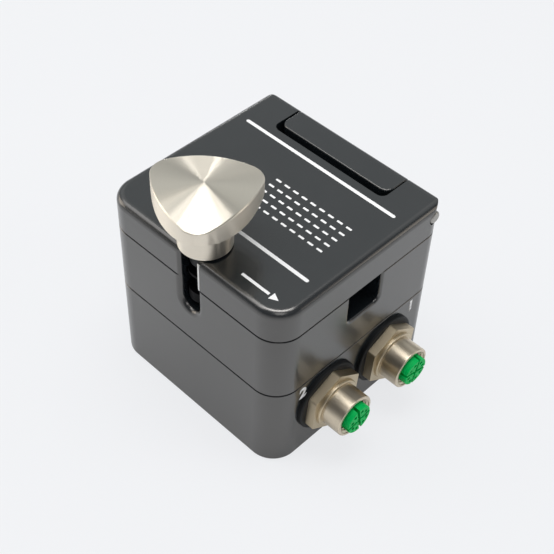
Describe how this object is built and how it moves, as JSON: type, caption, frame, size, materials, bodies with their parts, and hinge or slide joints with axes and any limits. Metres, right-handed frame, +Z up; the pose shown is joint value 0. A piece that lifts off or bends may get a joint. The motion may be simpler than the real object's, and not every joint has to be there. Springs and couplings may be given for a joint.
{
  "type": "clamp-on ultrasonic flow meter",
  "caption": "Box-shaped clamp-on flow sensor: hinged lid over a tube channel, lobed clamp knob in front, round cable sockets on one side.",
  "frame": {"origin": "middle of the flat bottom face", "axes": "+X along the tube in flow direction, towards the sockets; -Y to the knob; +Y to the hinge; +Z up"},
  "size_m": [0.0837, 0.0755, 0.0878],
  "materials": {
    "anodised": "satin black anodised",
    "knob_steel": "turned",
    "nickel": "nickel plated",
    "rubber": "matte",
    "green_plastic": "moulded",
    "gold": "gold plated",
    "block": "machined",
    "ceramic": "silvered ceramic",
    "lead": "insulated wire",
    "board": "solder mask",
    "black_plastic": "moulded",
    "screw_steel": "plain",
    "pin_steel": "ground",
    "black_steel": "blackened",
    "bronze": "sintered"
  },
  "bodies": {
    "housing": {"lower_housing": "anodised", "housing_gasket": "rubber", "middle_body": "anodised", "coupling_block_front": "block", "coupling_block_rear": "block", "transducer_discs_front": "ceramic", "transducer_discs_rear": "ceramic", "transducer_leads": "lead", "main_board": "board", "board_headers": "black_plastic", "board_chips": "black_plastic", "board_screws": "screw_steel", "housing_screws": "screw_steel", "hinge_pin": "pin_steel", "socket_1_shell": "nickel", "socket_1_gasket": "rubber", "socket_1_insert": "green_plastic", "socket_1_contacts": "gold", "socket_1_nut": "nickel", "socket_2_shell": "nickel", "socket_2_gasket": "rubber", "socket_2_insert": "green_plastic", "socket_2_contacts": "gold", "socket_2_nut": "nickel"},
    "lid": {"lid": "anodised", "lid_pad": "rubber", "hinge_bush_left": "bronze", "hinge_bush_right": "bronze", "bolt_bush": "black_plastic"},
    "knob": {"clamp_knob": "knob_steel", "clamp_bolt": "black_steel", "retaining_clip": "black_steel"}
  },
  "joints": [
    {"name": "lid_hinge", "type": "hinge", "parent": "housing", "child": "lid", "pos_m": [0, 0.0298, 0.0612], "axis": [-1, 0, 0], "range_deg": [0, 110]},
    {"name": "knob_turn", "type": "hinge", "parent": "lid", "child": "knob", "pos_m": [0, -0.0272, 0.0663], "axis": [0, 0, -1], "range_deg": [0, 90]}
  ]
}
